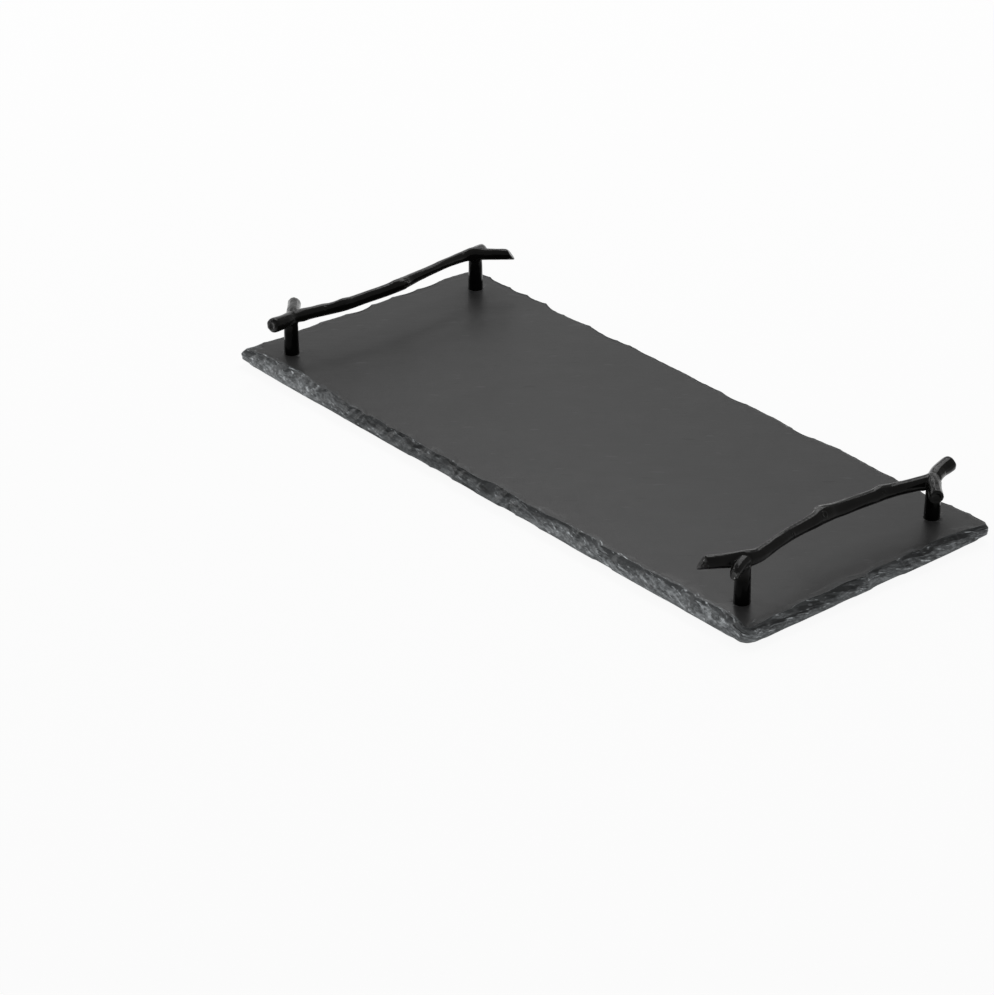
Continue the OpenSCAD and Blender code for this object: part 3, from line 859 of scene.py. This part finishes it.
def rim_rows(edge, top_edge, rng):
    """Rows from the wall's upper rim in over the top face, with shells split off that fade out inwards."""
    steps = (np.arange(1, RIM_ROWS + 1) / RIM_ROWS) ** RIM_SPACING_POWER
    from_edge = (RIM_DEPTH - top_edge[:, None]) * steps
    inward = top_edge[:, None] + from_edge
    shells, crest = flakes(edge, from_edge, rng, SHELL_FLAKES, *SHELL_BAND)
    shells = np.minimum(shells, SHELL_DEPTH) * (1 - steps**3)
    shown = np.clip(SHELL_SHOWN_PER_BEVEL * edge.bevel[:, None], SHELL_SHOWN_LEAST, 1)
    shelled = ramped(shells, 0, SHELL_FULL) * shown
    crest = CREST_ON_SHELL_SHARE * crest * shelled * edge.fresh[:, None]
    ragged = ramped(from_edge, RAGGED * (RAGGED_LEAST_SHARE + edge.bevel[:, None]), 0)
    chipped = np.maximum(ragged, SHELL_CHIPPED_SHARE * shelled)
    fresh = RIM_FRESH_SHARE * edge.fresh**2
    rows = []
    for j in range(RIM_ROWS):
        xy = edge.places - inward[:, j, None] * edge.outward
        z = SLAB_HI.z - relief(xy) - shells[:, j]
        level = SLAB_T + from_edge[:, j]
        rows.append(Row(inward[:, j], z, chipped[:, j], crest[:, j], fresh, edge.scoop, level))
    return rows


def cap(ring, ring_first, inner_first, rng):
    """Triangles between a ring of points and the four holes. New points are numbered from inner_first."""
    turns = [2 * math.pi * i / HOLE_POINTS for i in range(HOLE_POINTS)]
    holes = [
        (post.x + HOLE_R * math.cos(turn), post.y + HOLE_R * math.sin(turn))
        for post in POSTS.values() for turn in turns
    ]
    x_room = HALF_L - RIM_DEPTH - INNER_STEP
    y_room = HALF_W - RIM_DEPTH - INNER_STEP
    loose = []
    for row, y in enumerate(np.arange(-y_room, y_room, INNER_STEP * math.sqrt(3) / 2)):
        for x in np.arange(-x_room + row % 2 * INNER_STEP / 2, x_room, INNER_STEP):
            stray = rng.uniform(-INNER_STRAY_SHARE, INNER_STRAY_SHARE, 2) * INNER_STEP
            spot = np.array([x, y]) + stray
            if hole_gap(*spot) > HOLE_R + INNER_STEP / 2:
                loose.append(tuple(spot))
    given = [Vector(p) for p in (*map(tuple, ring), *holes, *loose)]
    n = len(ring)
    edges = [(i, (i + 1) % n) for i in range(n)]
    for h in range(len(POSTS)):
        first = n + h * HOLE_POINTS
        edges += [(first + i, first + (i + 1) % HOLE_POINTS) for i in range(HOLE_POINTS)]
    spots, _, tris, source, _, _ = delaunay_2d_cdt(given, edges, [], 1, MERGE_GAP)
    if len(spots) != len(given):
        raise ValueError(f"the cap has {len(given)} points and its triangles {len(spots)}")
    number = [min(s) for s in source]
    faces = []
    for tri in tris:
        middle = sum((spots[t] for t in tri), Vector((0, 0))) / 3
        if hole_gap(*middle) > OPEN_HOLE_SHARE * HOLE_R:
            faces.append(tuple(
                ring_first + number[t] if number[t] < n else inner_first + number[t] - n for t in tri))
    return np.array(holes + loose), faces


def band(lower, upper, count):
    """Faces between two rings of count points, numbered from lower and from upper."""
    return [
        (lower + i, lower + (i + 1) % count, upper + (i + 1) % count, upper + i)
        for i in range(count)
    ]


def spread_over(edge, rows, name, spare):
    """One value of each row for every point of it, and 0 for the spare points after them."""
    values = [np.broadcast_to(getattr(row, name), edge.count) for row in rows]
    return np.concatenate([*values, np.zeros(spare)])


def slate_mesh(edge, rows, rng):
    """A closed mesh from rows of points round the edge, both faces and the walls of the screw holes."""
    count = edge.count
    points = np.concatenate([
        np.column_stack([edge.places - row.inward[:, None] * edge.outward, np.broadcast_to(row.z, count)])
        for row in rows
    ])
    points[:, :2] = np.clip(points[:, :2], (-HALF_L, -HALF_W), (HALF_L, HALF_W))
    faces = []
    for r in range(len(rows) - 1):
        faces += band(r * count, (r + 1) * count, count)
    top_first = len(points)
    top, top_faces = cap(points[-count:, :2], top_first - count, top_first, rng)
    bottom_first = top_first + len(top)
    bottom, bottom_faces = cap(points[:count, :2], 0, bottom_first, rng)
    points = np.concatenate([
        points,
        np.column_stack([top, SLAB_HI.z - relief(top)]),
        np.column_stack([bottom, np.full(len(bottom), SLAB_LO.z)]),
    ])
    faces += top_faces + [tuple(reversed(f)) for f in bottom_faces]
    for h in range(len(POSTS)):
        hole = h * HOLE_POINTS
        faces += band(bottom_first + hole, top_first + hole, HOLE_POINTS)

    mesh = bpy.data.meshes.new("slate_board")
    mesh.from_pydata(points.tolist(), [], faces)
    spare = len(points) - top_first
    for name in ("chipped", "crest", "fresh", "scoop"):
        layer = mesh.attributes.new(name, "FLOAT", "POINT")
        layer.data.foreach_set("value", spread_over(edge, rows, name, spare).astype(np.float32))
    place = np.zeros((len(points), 3), dtype=np.float32)
    place[:top_first, 0] = np.tile(edge.walk, len(rows))
    place[:, 1] = spread_over(edge, rows, "level", spare)
    layer = mesh.attributes.new("edge_place", "FLOAT_VECTOR", "POINT")
    layer.data.foreach_set("vector", place.ravel())
    return mesh


def make_slate(look):
    rng = np.random.default_rng(SLATE_SEED)
    edge = walked_edge()
    wall = wall_rows(edge, rng)
    rim = rim_rows(edge, wall[-1].inward, rng)
    under = [
        Row(np.full(edge.count, inward), SLAB_LO.z, 0, 0, 0, 0, 0)
        for inward in (RIM_DEPTH, RIM_DEPTH / 2)
    ]
    mesh = slate_mesh(edge, under + wall + rim, rng)
    mesh.validate()
    board = finished("slate_board", mesh, SLATE_SHARP, look)
    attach(board, "root")
    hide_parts("slate_slab")


# Twigs: each is the CAD casting, remeshed and given its bark, flats, bud scars and rounded ends

# Both are one casting, and the left one is turned half round
TURNED = {"left": (-1, -1, 1), "right": (1, 1, 1)}
TWIG_MIDDLE = (POSTS["right_front"].x, 0, SEAT_Z)
TWIG_VOXEL = 0.36 * MM
TWIG_SOFTNESS = 0.5
TWIG_SOFT_PASSES = 4
TWIG_SHARP = math.radians(50)

# Bark, lumps and grain: height, patches to the metre across the twig, the share of them along it, seed
TWIG_RELIEF = [
    (0.09 * MM, 520, 0.14, 2.3),
    (0.14 * MM, 150, 0.6, 6.1),
    (0.03 * MM, 1500, 0.3, 4.4),
]

# Heights over the seats where a twig's relief begins and where it is complete
RELIEF_FROM = 0.8 * MM
RELIEF_TO = 2.8 * MM

# Directions that the casting's flats face, as on a whittled stick
FLATS = np.array([v for v in itertools.product((-1, 0, 1), repeat=3) if any(v)])
FLATS = FLATS / np.linalg.norm(FLATS, axis=1)[:, None]
FLAT_DEPTH = 0.11 * MM
FLAT_SPREAD = math.cos(math.radians(26))
FLAT_WARP = 0.45
FLAT_WARP_SCALE = 110
FLAT_WARP_ALONG = 0.5
FLAT_WARP_SEEDS = (11.3, 27.9, 41.6)

# Bud scars: places on a twig in mm, from its middle at the level of its seats, and their radii in mm
SCARS = [
    ((-12.6, -5.2, 11.2), 1.6),
    ((-6.7, 46.5, 10.4), 1.1),
    ((-4.3, -6.5, 11.8), 1.4),
    ((-2.2, -31.0, 10.5), 0.9),
    ((-3.6, 33.0, 11.0), 1.0),
    ((-5.0, 81.8, 9.9), 2.3),
    ((13.4, 52.4, 8.0), 2.3),
    ((4.4, -75.4, 7.4), 1.8),
]
SCAR_RIM = 0.22 * MM
SCAR_RIM_SHARE = 0.25
SCAR_DENT = 0.3 * MM
SCAR_DENT_SHARE = 0.6

# Blunt ends, placed as the scars are: how many mm from each the casting is rounded off, and glints
Tip = namedtuple("Tip", "at rounded glossy")
TIPS = [
    Tip((-12.5, -80.5, 7.8), 6.0, 4.4),
    Tip((4.4, -75.4, 7.4), 5.5, 3.4),
    Tip((-4.5, 81.9, 9.9), 6.0, 4.4),
]
TIP_FADE_SHARE = 0.35
TIP_PULL = 0.5
TIP_PASSES = 24

# A seat is drawn in between these shares of its radius and below the first of these heights, and flat below
# the second; each pair gives where that begins and where it is complete
SEAT_INNER_SHARES = (0.75, 0.85)
SEAT_OUTER_SHARES = (1.12, 1.07)
SEAT_ROUND_HEIGHTS = (1.6 * MM, 0.8 * MM)
SEAT_FLAT_HEIGHTS = (0.7 * MM, 0.4 * MM)


def flats(own, normals):
    """How far the surface is dressed back: most in the middle of each flat, nothing at its edges."""
    drawn_out = own * (1, FLAT_WARP_ALONG, 1)
    warp = np.stack([wander(drawn_out, FLAT_WARP_SCALE, seed) for seed in FLAT_WARP_SEEDS], axis=1)
    turned = normals + FLAT_WARP * warp
    turned = turned / np.linalg.norm(turned, axis=1)[:, None]
    nearest = (turned @ FLATS.T).max(axis=1)
    return FLAT_DEPTH * ramped(nearest, FLAT_SPREAD, 1)


def scars(own):
    """How far the surface stands out round the bud scars and sinks in inside them."""
    out = np.zeros(len(own))
    for spot, radius in SCARS:
        gaps = np.linalg.norm(own - np.array(spot) * MM, axis=1)
        away = np.linalg.norm(own - own[gaps.argmin()], axis=1) / (radius * MM)
        out += SCAR_RIM * np.exp(-((away - 1) / SCAR_RIM_SHARE) ** 2)
        out -= SCAR_DENT * np.exp(-(away / SCAR_DENT_SHARE) ** 2)
    return out


def near_tips(own, reach):
    """1 close to the twig's blunt ends, falling to 0 at the distance that each tip gives under reach."""
    near = np.zeros(len(own))
    for tip in TIPS:
        away = np.linalg.norm(own - np.array(tip.at) * MM, axis=1) / (getattr(tip, reach) * MM)
        near = np.maximum(near, ramped(away, 1, 1 - TIP_FADE_SHARE))
    return near


def relaxed(co, edges, weight, passes):
    """Moves each point towards the middle of its neighbours, by its weight."""
    ends = np.concatenate([edges, edges[:, ::-1]])
    neighbours = np.bincount(ends[:, 0], minlength=len(co))[:, None]
    for _ in range(passes):
        pull = [np.bincount(ends[:, 0], co[ends[:, 1], k], len(co)) for k in range(3)]
        co = co + weight[:, None] * (np.stack(pull, axis=1) / neighbours - co)
    return co


def seated(co, side):
    """The points round each post, pulled onto a seat that is flat and as wide as the post's top."""
    for end in ENDS:
        axis = POSTS[f"{side}_{end}"]
        arm = co[:, :2] - (axis.x, axis.y)
        away = np.maximum(np.hypot(arm[:, 0], arm[:, 1]), MM)
        over = co[:, 2] - SEAT_Z
        near = ramped(away / SEAT_R, *SEAT_INNER_SHARES) * ramped(away / SEAT_R, *SEAT_OUTER_SHARES)
        near = near * ramped(over, *SEAT_ROUND_HEIGHTS)
        co[:, :2] += arm * (near * (SEAT_R / away - 1))[:, None]
        co[:, 2] -= near * ramped(over, *SEAT_FLAT_HEIGHTS) * over
    return co


def remeshed(node, name):
    """A fine, even mesh of a CAD node, a little softened."""
    blank = bpy.data.objects.new("twig_blank", node.data.copy())
    bpy.context.scene.collection.objects.link(blank)
    fine = blank.modifiers.new("fine", "REMESH")
    fine.mode = "VOXEL"
    fine.voxel_size = TWIG_VOXEL
    soft = blank.modifiers.new("soft", "SMOOTH")
    soft.factor = TWIG_SOFTNESS
    soft.iterations = TWIG_SOFT_PASSES
    graph = bpy.context.evaluated_depsgraph_get()
    mesh = bpy.data.meshes.new_from_object(blank.evaluated_get(graph))
    bpy.data.objects.remove(blank)
    mesh.name = name
    return mesh


def read(items, name, width, kind=float):
    """One attribute of all items, as an array with a row for each."""
    values = np.empty(len(items) * width, dtype=kind)
    items.foreach_get(name, values)
    return values.reshape(-1, width)


def make_twig(side, look):
    mesh = remeshed(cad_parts[f"{side}_twig_handle"], f"{side}_twig")
    co = read(mesh.vertices, "co", 3)
    edges = read(mesh.edges, "vertices", 2, np.int32)
    weight = TIP_PULL * near_tips(co * TURNED[side] - TWIG_MIDDLE, "rounded")
    co = relaxed(co, edges, weight, TIP_PASSES)
    mesh.vertices.foreach_set("co", co.ravel())
    mesh.update()

    # Relief, measured along the rounded surface's own normals
    normals = read(mesh.vertices, "normal", 3)
    own = co * TURNED[side] - TWIG_MIDDLE
    rise = scars(own) + FLAT_DEPTH / 2 - flats(own, normals * TURNED[side])
    for height, scale, along, seed in TWIG_RELIEF:
        rise += height * wander(own * (1, along, 1), scale, seed)
    rise = rise * ramped(co[:, 2] - SEAT_Z, RELIEF_FROM, RELIEF_TO)
    co = seated(co + normals * rise[:, None], side)
    lo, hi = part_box(f"{side}_twig_handle")
    mesh.vertices.foreach_set("co", np.clip(co, np.array(lo), np.array(hi)).ravel())
    layer = mesh.attributes.new("cut", "FLOAT", "POINT")
    layer.data.foreach_set("value", near_tips(own, "glossy").astype(np.float32))
    twig = finished(f"{side}_twig", mesh, TWIG_SHARP, look)
    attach(twig, "root")
    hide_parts(f"{side}_twig_handle")


# Posts, turned on a lathe

LATHE_STEPS = 72
LATHE_SHARP = math.radians(50)
POST_RIM = 0.03 * MM
POST_RIM_TURNS = [math.radians(a) for a in (0, 30, 60, 90)]
POST_WAIST_SHARES = (0.2, 0.4, 0.6, 0.8)


def lathe(profile, centre):
    """Points and faces of a closed profile of (radius, height) points, turned round a vertical axis."""
    points, faces = [], []
    n = len(profile)
    for i in range(LATHE_STEPS):
        a = 2 * math.pi * i / LATHE_STEPS
        points += [(centre.x + r * math.cos(a), centre.y + r * math.sin(a), z) for r, z in profile]
    for i in range(LATHE_STEPS):
        here, there = i * n, (i + 1) % LATHE_STEPS * n
        for k in range(n):
            m = (k + 1) % n
            faces.append((here + k, there + k, there + m, here + m))
    return points, faces


def make_post(name, look):
    lo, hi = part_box(f"{name}_post")
    foot_r = (hi.x - lo.x) / 2
    foot = [
        (foot_r - POST_RIM + POST_RIM * math.sin(a), lo.z + POST_RIM - POST_RIM * math.cos(a))
        for a in POST_RIM_TURNS
    ]
    waist = [
        (foot_r + (SEAT_R - foot_r) * share, lo.z + (hi.z - lo.z) * share)
        for share in POST_WAIST_SHARES
    ]
    top = [
        (SEAT_R - POST_RIM + POST_RIM * math.cos(a), hi.z - POST_RIM + POST_RIM * math.sin(a))
        for a in POST_RIM_TURNS
    ]
    bore = [(POST_BORE_R, hi.z), (POST_BORE_R, lo.z)]
    points, faces = lathe(foot + waist + top + bore, centre_of(f"{name}_post"))
    mesh = bpy.data.meshes.new(f"{name}_post_turned")
    mesh.from_pydata(points, [], faces)
    post = finished(f"{name}_post_turned", mesh, LATHE_SHARP, look)
    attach(post, "root")
    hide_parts(f"{name}_post")


def dress(node, look):
    """Gives a CAD node its material and leaves its mesh alone."""
    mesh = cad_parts[node].data
    mesh.materials.clear()
    mesh.materials.append(look)


make_camera()
make_floor()
make_world()
for lamp in LAMPS:
    make_lamp(*lamp)
make_slate(slate_material())
casting = casting_material()
lacquer = post_material()
steel = steel_material()
rubber = rubber_material()
for side in SIDES:
    make_twig(side, casting)
for corner in POSTS:
    make_post(corner, lacquer)
    dress(f"{corner}_screw", steel)
    dress(f"{corner}_washer", steel)
    dress(f"{corner}_foot", rubber)

bpy.context.scene.view_settings.view_transform = "Standard"
